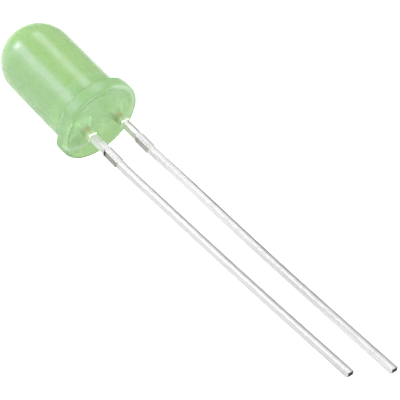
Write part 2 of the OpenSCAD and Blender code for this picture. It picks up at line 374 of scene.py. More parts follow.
# The ends of the leads inside the case, by height above the base of the flange
innerSizes = {
    "plateStart": 1.1, "plateBevel": 0.012, "hair": 0.002,  # a plate is a hair slimmer than its lead all round
    "anvilStart": 1.3, "anvilRise": 1.1, "anvilMargin": 0.05, "anvilOverlap": 0.15,
    "cupRim": 4.3, "headRadius": 0.65, "cupRadius": 0.53, "floorRadius": 0.32, "cupDepth": 0.38,
    "headHeight": 1.0, "neckHeight": 0.4, "neckRadius": 0.35, "cupSteps": 96,
    "ledgeGap": 0.2, "ledgeTop": 4.2, "ledgeThickness": 0.35, "ledgeRise": 0.55, "postCorner": 0.2}


def plate(outline):  # stamped sheet in the plane of the leads
    thickness = leadSizes["thickness"] - 2 * innerSizes["hair"]
    build = bmesh.new()
    face = build.faces.new([build.verts.new((x, -thickness / 2, z)) for x, z in outline])
    pulled = bmesh.ops.extrude_face_region(build, geom=[face])["geom"]
    pulled = [part for part in pulled if isinstance(part, bmesh.types.BMVert)]
    bmesh.ops.translate(build, vec=(0, thickness, 0), verts=pulled)
    bmesh.ops.recalc_face_normals(build, faces=build.faces)
    bmesh.ops.bevel(build, geom=list(build.edges), offset=innerSizes["plateBevel"], segments=1, affect="EDGES")
    return poured(build, bpy.data.meshes.new("plate"))


def anvilOutline():
    i, left = innerSizes, -leadSizes["pitch"] / 2
    half, side = leadSizes["width"] / 2 - i["hair"], i["neckRadius"] - i["anvilMargin"]
    top, shoulder = i["cupRim"] - i["headHeight"] + i["anvilOverlap"], i["anvilStart"] + i["anvilRise"]
    return [(left - half, i["plateStart"]), (left + half, i["plateStart"]), (left + half, i["anvilStart"]),
            (side, shoulder), (side, top), (-side, top), (left - half, shoulder)]


def postOutline():
    i, right = innerSizes, leadSizes["pitch"] / 2
    half, nose = leadSizes["width"] / 2 - i["hair"], i["headRadius"] + i["ledgeGap"]
    under = i["ledgeTop"] - i["ledgeThickness"]
    return [(right - half, i["plateStart"]), (right + half, i["plateStart"]),
            (right + half, i["ledgeTop"] - i["postCorner"]), (right + half - i["postCorner"], i["ledgeTop"]),
            (nose, i["ledgeTop"]), (nose, under), (right - half, under - i["ledgeRise"])]


def cupHead():
    i = innerSizes
    base, floor = i["cupRim"] - i["headHeight"], i["cupRim"] - i["cupDepth"]
    points = [(0, base), (i["neckRadius"], base), (i["headRadius"], base + i["neckHeight"]),
              (i["headRadius"], i["cupRim"]), (i["cupRadius"], i["cupRim"]), (i["floorRadius"], floor), (0, floor)]
    profile = polyCurve([(r, z, 0) for r, z in points])
    return outward(grown("cupHead", profile, turnedPiece, steps=i["cupSteps"], finish=plateMaterial))


def makeLead(name, side, length, others, node):
    s = leadSizes
    sizes = {key: s[key] for key in ("width", "thickness", "rolledEdge", "burrEdge", "tieLength", "tieWidth",
                                     "tieSlope", "tipRoll")}
    sweep = outward(grown(name, polyCurve(leadPath(side, length)), stampedLead,
                          tieStart=s["top"] + s["tieGap"], finish=plateMaterial, **sizes))
    whole = united(name, sweep, others)
    # Bare steel shows on the sides of the tie bar's remains and on the face of the tip
    whole.materials.clear()
    for finish in (plateMaterial, shearMaterial):
        whole.materials.append(finish)
    for face in whole.polygons:
        down = -face.center[2]
        tieSide = abs(face.normal[1]) < s["sidewaysBelow"] and s["tieGap"] < down < s["tieGap"] + s["tieLength"]
        tipFace = face.normal[2] < s["downwardsBelow"] and down > length - s["tipReach"]
        face.material_index = int(tieSide or tipFace)
    laidDown(name, whole, s["smoothAngle"], "plated_lead", node)


makeLead("cathodePin", -1, leadSizes["cathodeLength"], [plate(anvilOutline()), cupHead()], "cathode_lead")
makeLead("anodePin", 1, leadSizes["anodeLength"], [plate(postOutline())], "anode_lead")

# "sink" is how far the middle of a ridge lies under the face, as a share of its radius
ridgeSizes = {"count": 11, "radius": 0.03, "sink": 0.72, "shorter": 0.03, "seed": 5, "smoothAngle": 50}


def makeRidges(name, side):
    s, ridge = leadSizes, ridgeSizes
    spots = []
    for face in (-1, 1):
        x = side * s["pitch"] / 2 + face * (s["tieWidth"] / 2 - ridge["radius"] * ridge["sink"])
        for k in range(ridge["count"]):
            along = s["tieSlope"] + (s["tieLength"] - 2 * s["tieSlope"]) * (k + 0.5) / ridge["count"]
            spots.append((x + strayed(side, s["tieGap"] + along), 0.0, -s["tieGap"] - along))
    points = bpy.data.meshes.new("spots")
    points.from_pydata(spots, [], [])
    mesh = grown(name, points, shearRidges, radius=ridge["radius"], height=s["thickness"] - ridge["shorter"],
                 seed=ridge["seed"] + side, finish=shearMaterial)
    laidDown(name, mesh, ridge["smoothAngle"], "plated_lead")


makeRidges("cathodeShearRidges", -1)
makeRidges("anodeShearRidges", 1)
print("leads are made")

caseSizes = {
    "bodyRadius": 2.5, "height": 8.9, "flangeRadius": 3.0, "flangeThickness": 1.0, "flat": 2.55, "rim": 0.2,
    "shoulder": 0.2, "lip": 0.3, "lipRound": 0.14, "dishDepth": 0.3, "dishRadius": 1.4,
    "skirtHeight": 0.5, "skirtReach": 0.62, "filmLength": 0.62, "filmWall": 0.03, "filmStart": 0.004,
    "beadRound": 0.04, "filmSquareness": 16.0, "footSquareness": 2.5, "overlap": 0.1, "smoothAngle": 30,
    "steps": 192, "domeSteps": 40, "bodySteps": 12, "shoulderSteps": 8, "rimSteps": 6, "lipSteps": 7,
    "wallSteps": 14, "floorSteps": 5, "skirtSteps": 64, "filmSteps": 4, "footSteps": 14}


def caseProfile():  # radius and height, from the top of the dome round to the middle of the dish
    c = caseSizes
    top = c["height"] - c["bodyRadius"]
    shoulderTop = c["flangeThickness"] + c["shoulder"]
    inner = c["flangeRadius"] - c["rim"]
    dishWall = math.sqrt(c["dishRadius"] ** 2 - (c["dishRadius"] - c["dishDepth"]) ** 2)
    lipEdge = c["flangeRadius"] - c["lip"]
    floorEdge = lipEdge - dishWall
    points = arc((0, top), c["bodyRadius"], 90, 0, c["domeSteps"])
    points += [(c["bodyRadius"], top + (shoulderTop - top) * k / c["bodySteps"]) for k in range(1, c["bodySteps"])]
    points += arc((c["bodyRadius"] + c["shoulder"], shoulderTop), c["shoulder"], 180, 270, c["shoulderSteps"])
    points += arc((inner, c["flangeThickness"] - c["rim"]), c["rim"], 90, 0, c["rimSteps"])
    points += arc((inner, c["rim"]), c["rim"], 0, -90, c["rimSteps"])
    # The lip turns softly into the wall of the dish
    wallStart = math.degrees(math.asin(1 - c["dishDepth"] / c["dishRadius"]) + c["lipRound"] / c["dishRadius"])
    wall = arc((floorEdge, c["dishDepth"] - c["dishRadius"]), c["dishRadius"], wallStart, 90, c["wallSteps"])
    lipStart = lipEdge + c["lipRound"]
    for t in (k / c["lipSteps"] for k in range(c["lipSteps"])):
        across = (1 - t) ** 2 * lipStart + 2 * t * (1 - t) * lipEdge + t * t * wall[0][0]
        points.append((across, t * t * wall[0][1]))
    points += wall
    points += [(floorEdge * k / c["floorSteps"], c["dishDepth"]) for k in reversed(range(c["floorSteps"]))]
    points[0] = (0.0, c["height"])
    return [(r, z, 0.0) for r, z in points]


def skirt(x):  # the epoxy that creeps down a lead: a film with a bead at its end, and a concave foot in the dish
    c = caseSizes
    metal, bottom = leadSizes["width"] / 2, c["dishDepth"] - c["skirtHeight"]
    film, filmEnd = metal + c["filmWall"], bottom - c["filmLength"]
    # Each section has its reach from the middle of the lead, its height, and how far up the foot it is
    sections = [(metal + c["filmStart"], filmEnd, 0.0)]
    for t in (math.radians(a) for a in (20, 50, 90, 130, 165)):
        sections.append((film + c["beadRound"] * math.sin(t), filmEnd + c["beadRound"] * (1 - math.cos(t)), 0.0))
    for k in reversed(range(1, c["filmSteps"])):
        sections.append((film, bottom - c["filmLength"] * k / c["filmSteps"], 0.0))
    for k in range(c["footSteps"] + 1):
        t = math.radians(90 * k / c["footSteps"])
        sections.append((film + c["skirtReach"] * (1 - math.cos(t)), bottom + c["skirtHeight"] * math.sin(t),
                         k / c["footSteps"]))
    rings = []
    for reach, height, share in sections:
        power = c["filmSquareness"] + (c["footSquareness"] - c["filmSquareness"]) * share
        rings.append([])
        for t in (math.tau * j / c["skirtSteps"] for j in range(c["skirtSteps"])):
            radius = reach / (abs(math.cos(t)) ** power + abs(math.sin(t)) ** power) ** (1 / power)
            rings[-1].append((x + radius * math.cos(t), radius * math.sin(t), height))
    rings.append([(vx, vy, c["dishDepth"] + c["overlap"]) for vx, vy, vz in rings[-1]])
    build = bmesh.new()
    rows = [[build.verts.new(v) for v in ring] for ring in rings]
    for low, high in zip(rows, rows[1:]):
        for j in range(c["skirtSteps"]):
            after = (j + 1) % c["skirtSteps"]
            build.faces.new((low[j], low[after], high[after], high[j]))
    build.faces.new(rows[0])
    build.faces.new(rows[-1])
    bmesh.ops.recalc_face_normals(build, faces=build.faces)
    mesh = bpy.data.meshes.new("skirt")
    mesh.materials.append(caseMaterial)
    return poured(build, mesh)


def makeCase():
    c, leadPlace = caseSizes, leadSizes["pitch"] / 2
    blank = outward(grown("case", polyCurve(caseProfile()), turnedPiece, steps=c["steps"], flat=c["flat"],
                          finish=caseMaterial))
    case = united("case", blank, [skirt(-leadPlace), skirt(leadPlace + strayed(1, 0.0))])
    laidDown("epoxyCase", case, c["smoothAngle"], "diffused_epoxy", "epoxy_case")
    print("case is made", len(case.polygons))


makeCase()


def tint(red, green, blue):  # 0 to 255 as on a screen, to the linear values that the shaders take
    linear = [v / 255 / 12.92 if v <= 10 else ((v / 255 + 0.055) / 1.055) ** 2.4 for v in (red, green, blue)]
    return (*linear, 1.0)


def mixed(tree, share, first, second):
    return put(tree, "ShaderNodeMix", {0: share, 6: first, 7: second}, data_type="RGBA").outputs[2]


def ranged(tree, value, low, high, toLow=0.0, toHigh=1.0, smooth=True):
    node = put(tree, "ShaderNodeMapRange", {0: value, 1: low, 2: high, 3: toLow, 4: toHigh})
    node.interpolation_type = "SMOOTHSTEP" if smooth else "LINEAR"
    return node.outputs[0]


def stepped(tree, value, table):  # the level at a value, straight between the pairs of a table
    level = table[0][1]
    for (first, low), (last, high) in zip(table, table[1:]):
        if high != low:
            level = plus(tree, level, ranged(tree, value, first, last, 0.0, high - low, smooth=False))
    return level


def onAnodeSide(tree, part):
    return maths(tree, "GREATER_THAN", part[0], 0.0)


def bySide(tree, part, tables):  # the level by distance below the case, from the table of the nearer lead
    down = times(tree, part[2], -1.0)
    isAnode = onAnodeSide(tree, part)
    return plus(tree, times(tree, stepped(tree, down, tables[1]), isAnode),
                times(tree, stepped(tree, down, tables[-1]), minus(tree, 1.0, isAnode)))


def noise(tree, place, scale, detail=3.0, rough=0.5):
    return put(tree, "ShaderNodeTexNoise", {
        "Vector": place, "Scale": scale, "Detail": detail, "Roughness": rough}).outputs[0]


def uprightPlace(tree):  # object coordinates, turned back upright and in millimetres
    spot = put(tree, "ShaderNodeTexCoord").outputs["Object"]
    return put(tree, "ShaderNodeMapping", {
        "Vector": spot, "Location": restShift, "Rotation": restTurn.to_euler("XYZ"), "Scale": (mm, mm, mm)},
        vector_type="TEXTURE").outputs[0]


# "lines", "clouds" and "pits" say where each mask begins and is full, and the shares add up to the dull mask
drawnLook = {
    "stretch": (1.0, 1.0, 0.035), "cloudScale": 1.7, "pitScale": 9.0, "lines": (0.35, 0.7), "clouds": (0.4, 0.75),
    "pits": (0.12, 0.04), "lineShare": 0.45, "cloudShare": 0.4, "dulling": 0.14, "pitDepth": 2.0}


def makeDrawnMetalGroup():  # lengthwise drawing lines, cloudy plating and small pits
    look = drawnLook
    tree, takes, gives = newTree("drawnMetal", "ShaderNodeTree", [
        ("Place", "Vector", None), ("Colour", "Color", (0.8, 0.8, 0.8, 1)),
        ("Dull Colour", "Color", (0.6, 0.6, 0.6, 1)), ("Line Scale", "Float", 30.0),
        ("Roughness", "Float", 0.2), ("Pits", "Float", 0.2)],
        [("Colour", "Color"), ("Roughness", "Float"), ("Height", "Float")])
    stretched = put(tree, "ShaderNodeMapping", {"Vector": takes["Place"], "Scale": look["stretch"]}).outputs[0]
    lines = noise(tree, stretched, takes["Line Scale"], 4.0, 0.6)
    clouds = noise(tree, takes["Place"], look["cloudScale"], 3.0, 0.55)
    pits = put(tree, "ShaderNodeTexVoronoi", {"Vector": takes["Place"], "Scale": look["pitScale"]},
               feature="F1").outputs[0]
    pitMask = times(tree, ranged(tree, pits, *look["pits"]), takes["Pits"])
    dull = plus(tree, times(tree, ranged(tree, lines, *look["lines"]), look["lineShare"]),
                times(tree, ranged(tree, clouds, *look["clouds"]), look["cloudShare"]), pitMask)
    feed(tree, gives, {
        "Colour": mixed(tree, dull, takes["Colour"], takes["Dull Colour"]),
        "Roughness": plus(tree, takes["Roughness"], times(tree, dull, look["dulling"])),
        "Height": minus(tree, lines, times(tree, pitMask, look["pitDepth"]))})
    return tree


drawnMetal = makeDrawnMetalGroup()


def startMaterial(material):
    material.use_nodes = True
    tree = material.node_tree
    tree.nodes.clear()
    shader = put(tree, "ShaderNodeBsdfPrincipled")
    put(tree, "ShaderNodeOutputMaterial", {0: shader.outputs[0]})
    return tree, shader.inputs


def drawn(tree, place, colour, dull, lines, roughness, pits):
    node = put(tree, "ShaderNodeGroup", node_tree=drawnMetal)
    feed(tree, node.inputs, {"Place": place, "Colour": colour, "Dull Colour": dull, "Line Scale": lines,
                             "Roughness": roughness, "Pits": pits})
    return node.outputs


def bumped(tree, height, strength, depth):
    return put(tree, "ShaderNodeBump", {"Height": height, "Strength": strength, "Distance": depth}).outputs[0]


epoxyLook = {
    "body": tint(117, 151, 91), "cloud": tint(118, 150, 95), "mint": tint(117, 150, 101),
    "collar": tint(122, 158, 103), "farSide": tint(102, 133, 79), "flange": tint(112, 147, 95),
    "rim": tint(102, 135, 80), "base": tint(118, 153, 99), "farBase": tint(135, 169, 110),
    "streak": tint(146, 170, 134), "foot": tint(137, 173, 119), "metalBelow": tint(156, 162, 124),
    "film": tint(168, 190, 146), "bead": tint(226, 236, 212), "rimShare": 0.8,
    "roughness": 0.26, "smoother": 0.04, "rougher": 0.05, "flangeDulling": 0.1, "rimDulling": 0.25,
    "cloudScale": 0.55, "rippleScale": 1.6, "relief": (0.1, 0.00002),
    "specular": 0.36, "specularTint": (0.82, 0.58, 1.0, 1.0),
    "scatter": 0.45, "scatterScale": 0.0007, "scatterRadius": (0.8, 1.0, 0.6),
    # Painted highlights in the dish, standing for the dish wall and the rim catching the light, each an arc about a
    # middle, kept to the side it lies towards
    "flowLines": [
        {"middle": (-0.05, -0.22, 0.0), "radius": 2.67, "towards": (0.95, -0.3, 0.0), "limit": 1.0},
        {"middle": (-0.5, -1.05, 0.0), "radius": 3.0, "towards": (-0.4, 0.9, 0.0), "limit": 1.55}],
    # Where each tint begins and where it is full, in millimetres, with its shares there if they aren't
    # 0 and 1. Heights are above the base of the flange, radii from the axis of the case, "lead" and
    # "metal" distances from the middle and the face of a lead, and "end" heights from the end of the
    # foot or of the film.
    "at": {
        "clouds": (0.35, 0.7, 0.0, 0.5), "mintHeight": (2.6, 1.0), "mintSide": (-1.0, -2.4, 0.0, 0.8),
        "collarFrom": (1.25, 1.45), "collarTo": (2.4, 1.8),
        "farDirection": (0.9, -0.43, 0.0), "farReach": (1.95, 2.35), "farHeight": (1.1, 1.4),
        "flangeRadius": (2.7, 2.85), "flangeHeight": (1.1, 1.0), "baseRadius": (2.9, 2.7),
        "baseHeight": (0.6, 0.4), "baseSlant": (1.0, 1.2, 0.0), "baseReach": (-1.0, 3.2),
        "streakWidth": (0.16, 0.03), "streakFade": 0.6, "streakHeight": (0.5, 0.35, 0.0, 0.85),
        "footLead": (1.0, 0.5), "footHeight": (0.36, 0.26), "footSide": (0.6, -0.6, 0.2, 0.8),
        "nearMetal": (0.22, 0.04), "brownHeight": 0.1, "brownEnd": (-0.3, -0.15),
        "brownSide": (0.1, -0.2, 0.25, 0.8), "filmEnd": (-0.1, -0.35), "beadEnd": (0.16, 0.08),
        "beadSide": (-0.1, -0.2), "rimRadius": (2.78, 2.9), "rimFrom": (0.78, 0.88), "rimTo": (1.06, 1.0),
        "dullRadius": (2.55, 2.7), "dullRim": (0.72, 0.84), "ripples": (0.3, 0.75)}}


def finishEpoxy():
    look, at, c = epoxyLook, epoxyLook["at"], caseSizes
    tree, sockets = startMaterial(caseMaterial)
    place = uprightPlace(tree)
    part = partsOf(tree, place)
    height = part[2]
    level = vectors(tree, "MULTIPLY", place, (1.0, 1.0, 0.0))
    radius = vectors(tree, "LENGTH", level)
    clouds = noise(tree, place, look["cloudScale"])
    colour = mixed(tree, ranged(tree, clouds, *at["clouds"]), look["body"], look["cloud"])
    minty = larger(tree, ranged(tree, height, *at["mintHeight"]), ranged(tree, part[0], *at["mintSide"]))
    colour = mixed(tree, minty, colour, look["mint"])
    # Painted light makes the body paler just above the flange, lifting the shade there, and painted shade darkens
    # its far side
    collar = times(tree, ranged(tree, height, *at["collarFrom"]), ranged(tree, height, *at["collarTo"]))
    colour = mixed(tree, collar, colour, look["collar"])
    farther = vectors(tree, "DOT_PRODUCT", place, at["farDirection"])
    farSide = times(tree, ranged(tree, farther, *at["farReach"]), ranged(tree, height, *at["farHeight"]))
    colour = mixed(tree, farSide, colour, look["farSide"])
    # The flange is a little deeper in colour too, and the base grows paler towards the anode
    onFlange = times(tree, ranged(tree, radius, *at["flangeRadius"]), ranged(tree, height, *at["flangeHeight"]))
    colour = mixed(tree, onFlange, colour, look["flange"])
    under = times(tree, ranged(tree, radius, *at["baseRadius"]), ranged(tree, height, *at["baseHeight"]))
    slant = vectors(tree, "DOT_PRODUCT", place, at["baseSlant"])
    base = mixed(tree, ranged(tree, slant, *at["baseReach"]), look["base"], look["farBase"])
    colour = mixed(tree, under, colour, base)
    # Painted highlights along arcs on the dish wall and rim
    for line in look["flowLines"]:
        away = vectors(tree, "LENGTH", vectors(tree, "SUBTRACT", level, line["middle"]))
        off = distance(tree, minus(tree, away, line["radius"]))
        reach = vectors(tree, "DOT_PRODUCT", place, line["towards"])
        streak = times(tree, ranged(tree, off, *at["streakWidth"]),
                       ranged(tree, reach, line["limit"], line["limit"] + at["streakFade"]),
                       ranged(tree, height, *at["streakHeight"]))
        colour = mixed(tree, streak, colour, look["streak"])
    # Painted light makes a pale foot round each lead, lifting the shade of its hollow; the metal shows brown through
    # it, then come the film and a painted glint on the bead at its end
    footEnd = c["dishDepth"] - c["skirtHeight"]
    filmEnd = footEnd - c["filmLength"]
    metal = leadSizes["width"] / 2 + c["filmWall"]
    shifted = minus(tree, part[0], times(tree, onAnodeSide(tree, part), strayed(1, 0.0)))
    across = distance(tree, minus(tree, distance(tree, shifted), leadSizes["pitch"] / 2))
    fromLead = larger(tree, across, distance(tree, part[1]))
    foot = times(tree, ranged(tree, fromLead, *at["footLead"]), ranged(tree, height, *at["footHeight"]),
                 ranged(tree, part[0], *at["footSide"]))
    colour = mixed(tree, foot, colour, look["foot"])
    near = ranged(tree, fromLead, *(metal + reach for reach in at["nearMetal"]))
    brown = times(tree, near, ranged(tree, height, at["brownHeight"], footEnd),
                  ranged(tree, height, *(footEnd + rise for rise in at["brownEnd"])),
                  ranged(tree, part[1], *at["brownSide"]))
    colour = mixed(tree, brown, colour, look["metalBelow"])
    film = times(tree, near, ranged(tree, height, *(footEnd + rise for rise in at["filmEnd"])))
    colour = mixed(tree, film, colour, look["film"])
    # A painted glint whitens the top of the bead at the film's end
    bead = times(tree, ranged(tree, height, *(filmEnd + rise for rise in at["beadEnd"])),
                 ranged(tree, part[1], *at["beadSide"]))
    colour = mixed(tree, bead, colour, look["bead"])
    # Painted shade darkens the rounded upper rim of the flange, where it would shine
    rim = times(tree, ranged(tree, radius, *at["rimRadius"]), ranged(tree, height, *at["rimFrom"]),
                ranged(tree, height, *at["rimTo"]), look["rimShare"])
    colour = mixed(tree, rim, colour, look["rim"])
    # The flange is duller than the body, most of all round its upper rim
    flange = times(tree, ranged(tree, height, *at["flangeHeight"]), ranged(tree, radius, *at["dullRadius"]))
    upperRim = times(tree, flange, ranged(tree, height, *at["dullRim"]))
    dulled = plus(tree, times(tree, flange, look["flangeDulling"]), times(tree, upperRim, look["rimDulling"]))
    ripple = noise(tree, place, look["rippleScale"], 2.0, 0.4)
    gloss = ranged(tree, ripple, *at["ripples"], look["roughness"] - look["smoother"],
                   look["roughness"] + look["rougher"])
    feed(tree, sockets, {
        "Base Color": colour, "Roughness": plus(tree, gloss, dulled),
        "Normal": bumped(tree, ripple, *look["relief"]), "Specular IOR Level": look["specular"],
        "Specular Tint": look["specularTint"], "Subsurface Weight": look["scatter"],
        "Subsurface Scale": look["scatterScale"], "Subsurface Radius": look["scatterRadius"]})


plateLook = {
    "bright": tint(217, 217, 217), "dull": tint(207, 207, 207), "white": tint(212, 207, 211),
    "side": tint(184, 184, 180), "paleSide": tint(206, 206, 202), "shade": tint(160, 161, 158),
    "line": tint(108, 109, 106), "burr": tint(90, 90, 88), "smear": tint(182, 189, 171),
    "paleSmear": tint(198, 204, 186), "roughness": 0.2, "lines": 26.0, "pits": 0.25, "relief": (0.35, 0.00001),
    "burrShare": 0.7, "lineDulling": 0.15, "smearDulling": 0.25, "burrDulling": 0.3,
    "metallic": 1.0, "smearMetallic": 0.45, "smearLength": 1.4, "wanderScale": 0.9,
    # Where each begins and where it is full: by how far a face looks sideways or up, or in millimetres
    "at": {
        "side": (0.6, 0.85), "top": (0.3, 0.5), "burrSide": (-0.2, -0.4), "burrTop": (0.2, 0.4),
        "shade": (0.0, -0.26), "line": (0.19, 0.02), "smearPatches": (0.2, 0.6, 0.75, 1.0),
        "lineWander": (0.3, 0.7, 0.85, 1.0)},
    # Levels at a distance below the case, for the cathode (-1) and the anode (1)
    "along": {
        # How much the top is shaded on its left
        "shade": {
            -1: [(1.4, 0.0), (2.2, 0.8), (3.4, 0.8), (3.8, 0.3), (8.0, 0.2), (12.0, 0.25), (24.0, 0.3)],
            1: [(1.4, 0.0), (2.2, 0.8), (3.4, 0.8), (4.0, 0.5), (8.0, 0.35), (12.0, 0.4), (24.0, 0.3)]},
        # How much paler the sides are painted: painted light against the dim reflections on them
        "paleSide": {-1: [(0.0, 0.0)], 1: [(2.0, 1.0), (4.5, 0.8), (9.0, 0.35), (26.0, 0.45)]},
        # How much of the smear of epoxy lies on the top too
        "topSmear": {-1: [(1.2, 0.95), (1.5, 0.1)], 1: [(0.8, 0.9), (1.2, 0.3)]},
        # How much a painted highlight whitens the top
        "white": {-1: [(1.3, 0.0), (1.6, 0.7), (2.2, 0.6), (3.0, 0.0)], 1: [(0.0, 0.0)]},
        # How strong the dark line is, a painted dark reflection along the rolled edge, and how far it lies from the
        # edge
        "line": {
            -1: [(0.8, 0.0), (2.0, 0.05), (2.3, 0.7), (3.3, 0.6), (4.0, 0.6), (8.0, 0.8), (12.0, 0.75),
                 (24.0, 0.75)],
            1: [(0.8, 0.9), (1.9, 1.0), (2.2, 0.4), (2.5, 0.7), (3.4, 0.5), (4.0, 0.3), (6.0, 0.65),
                (8.0, 1.0), (12.0, 0.9), (16.0, 0.8), (24.0, 0.7)]},
        "linePlace": {
            -1: [(3.5, 0.05), (6.0, 0.06), (12.0, 0.13), (16.0, 0.14), (20.0, 0.14), (24.0, 0.10)],
            1: [(2.0, 0.03), (6.0, 0.02), (8.0, 0.05), (12.0, 0.08), (16.0, 0.14), (20.0, 0.11),
                (24.0, 0.11)]}}}


def finishPlate():
    look, at, s, c = plateLook, plateLook["at"], leadSizes, caseSizes
    tree, sockets = startMaterial(plateMaterial)
    place = uprightPlace(tree)
    part = partsOf(tree, place)
    levels = {key: bySide(tree, part, tables) for key, tables in look["along"].items()}
    metal = drawn(tree, place, look["bright"], look["dull"], look["lines"], look["roughness"], look["pits"])
    facing = partsOf(tree, put(tree, "ShaderNodeNewGeometry").outputs["Normal"])
    upper = ranged(tree, facing[2], *at["top"])
    # The seen sides are a duller grey, partly from the shear and partly painted shade, lifted by painted light where
    # the table says
    side = mixed(tree, levels["paleSide"], look["side"], look["paleSide"])
    colour = mixed(tree, ranged(tree, distance(tree, facing[1]), *at["side"]), metal["Colour"], side)
    # A painted highlight whitens the top of the cathode near its tie bar
    paintedTopHighlightMask = times(tree, upper, levels["white"])
    colour = mixed(tree, paintedTopHighlightMask, colour, look["white"])
    across = minus(tree, part[0], times(tree, maths(tree, "SIGN", part[0]), s["pitch"] / 2),
                   bySide(tree, part, s["bows"]))
    shade = times(tree, ranged(tree, across, *at["shade"]), levels["shade"], upper)
    colour = mixed(tree, shade, colour, look["shade"])
    # A smear of epoxy dulls the metal just below the film
    filmEnd = c["dishDepth"] - c["skirtHeight"] - c["filmLength"]
    smear = times(tree, ranged(tree, part[2], filmEnd - look["smearLength"], filmEnd - look["smearLength"] / 2),
                  ranged(tree, metal["Height"], *at["smearPatches"]))
    bareTop = times(tree, upper, minus(tree, 1.0, levels["topSmear"]))
    smear = times(tree, smear, minus(tree, 1.0, bareTop))
    smeared = mixed(tree, onAnodeSide(tree, part), look["smear"], look["paleSmear"])
    colour = mixed(tree, smear, colour, smeared)
    # The dark line is a painted dark reflection that follows the rolled edge, and goes further out across the
    # remains of the tie bar
    fromTie = distance(tree, plus(tree, part[2], s["tieGap"] + s["tieLength"] / 2))
    half = ranged(tree, fromTie, s["tieLength"] / 2 - s["tieSlope"], s["tieLength"] / 2,
                  s["tieWidth"] / 2, s["width"] / 2)
    off = distance(tree, minus(tree, half, across, levels["linePlace"]))
    wander = ranged(tree, noise(tree, place, look["wanderScale"], 2.0), *at["lineWander"])
    line = times(tree, ranged(tree, off, *at["line"]), levels["line"], upper, wander)
    colour = mixed(tree, line, colour, look["line"])
    # Painted shade darkens the sheared corner between the seen side and the top, so that it doesn't glint
    burr = times(tree, ranged(tree, facing[1], *at["burrSide"]), ranged(tree, facing[2], *at["burrTop"]))
    colour = mixed(tree, times(tree, burr, look["burrShare"]), colour, look["burr"])
    dulled = larger(tree, times(tree, line, look["lineDulling"]), times(tree, smear, look["smearDulling"]),
                    times(tree, burr, look["burrDulling"]))
    feed(tree, sockets, {
        "Base Color": colour, "Roughness": plus(tree, metal["Roughness"], dulled),
        "Metallic": ranged(tree, larger(tree, smear, paintedTopHighlightMask), 0.0, 1.0, look["metallic"], look["smearMetallic"]),
        "Normal": bumped(tree, metal["Height"], *look["relief"])})


shearLook = {
    "burnished": tint(192, 188, 179), "paleBurnished": tint(200, 197, 190), "torn": tint(26, 25, 19),
    "roughness": 0.4, "lines": 18.0, "pits": 0.6, "tearScale": 14.0, "tornShare": 0.3, "tornDulling": 0.2,
    "spread": 0.05, "relief": (0.8, 0.00003), "metallic": 0.8,
    # Where each begins and where it is full. "start" runs down from the upper end of the tie bar's remains
    "at": {
        "tears": (0.42, 0.6), "valley": (-0.2, 0.6, 0.0, 0.5), "start": (0.3, 0.14),
        "startSide": (0.1, -0.1), "tip": (15.0, 16.0, 0.0, 0.95)}}


def finishShear():
    look, at, s = shearLook, shearLook["at"], leadSizes
    tree, sockets = startMaterial(shearMaterial)
    place = uprightPlace(tree)
    part = partsOf(tree, place)
    down = times(tree, part[2], -1.0)
    metal = drawn(tree, place, look["burnished"], look["torn"], look["lines"], look["roughness"], look["pits"])
    tear = noise(tree, place, look["tearScale"], 5.0, 0.7)
    torn = ranged(tree, plus(tree, tear, times(tree, distance(tree, part[0]), look["spread"])), *at["tears"])
    # Torn steel and painted shade make the valleys between the ridges dark; the upper end of the cathode's cut and
    # the tips are dark torn steel
    step = (s["tieLength"] - 2 * s["tieSlope"]) / ridgeSizes["count"]
    turns = times(tree, minus(tree, down, s["tieGap"] + s["tieSlope"]), math.tau / step)
    valley = ranged(tree, maths(tree, "COSINE", turns), *at["valley"])
    start = times(tree, ranged(tree, down, *(s["tieGap"] + reach for reach in at["start"])),
                  ranged(tree, part[0], *at["startSide"]))
    torn = larger(tree, times(tree, torn, look["tornShare"]), valley, start, ranged(tree, down, *at["tip"]))
    colour = mixed(tree, onAnodeSide(tree, part), metal["Colour"], look["paleBurnished"])
    feed(tree, sockets, {
        "Base Color": mixed(tree, torn, colour, look["torn"]), "Metallic": look["metallic"],
        "Roughness": plus(tree, metal["Roughness"], times(tree, torn, look["tornDulling"])),
        "Normal": bumped(tree, tear, *look["relief"])})


sealedLooks = {
    "led_chip": {"name": "galliumCrystal", "colour": tint(206, 186, 92), "dull": tint(170, 140, 60),
                 "lines": 60.0, "roughness": 0.3, "metallic": 0.2},
    "die_adhesive": {"name": "silverPaste", "colour": tint(196, 196, 198), "dull": tint(140, 140, 144),
                     "lines": 90.0, "roughness": 0.5, "metallic": 0.7},
    "bond_wire": {"name": "drawnGold", "colour": tint(238, 204, 120), "dull": tint(206, 160, 76),
                  "lines": 200.0, "roughness": 0.15, "metallic": 1.0}}


def finishSealed(pits=0.1, relief=(0.3, 0.000004)):  # the sealed pieces keep their solids from the frame
    for node, look in sealedLooks.items():
        material = bpy.data.materials.new(look["name"])
        tree, sockets = startMaterial(material)
        metal = drawn(tree, uprightPlace(tree), look["colour"], look["dull"], look["lines"], look["roughness"], pits)
        feed(tree, sockets, {
            "Base Color": metal["Colour"], "Roughness": metal["Roughness"], "Metallic": look["metallic"],
            "Normal": bumped(tree, metal["Height"], *relief)})
        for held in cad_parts[node].material_slots:
            held.material = material


finishEpoxy()
finishPlate()
finishShear()
finishSealed()
print("finishes are on")

stageSizes = {
    "floor": 3.0, "floorColour": tint(229, 229, 229), "floorPatches": tint(225, 225, 225), "patchScale": 6.0,
    "patches": (0.3, 0.7, 0.0, 0.25), "floorRoughness": 0.9, "floorSpecular": 0.1,
    "floorSeen": tint(250, 250, 250), "floorGlow": 1.0,  # the camera sees the floor without a shadow
    "sky": 1.0, "skySeen": 0.9, "horizon": 0.6, "horizonDirection": (-0.55, 0.83, 0.0),
    "horizonReach": (0.4, 0.8), "horizonHeight": (0.4, 0.1)}


def seenByCamera(tree):
    return put(tree, "ShaderNodeLightPath").outputs["Is Camera Ray"]


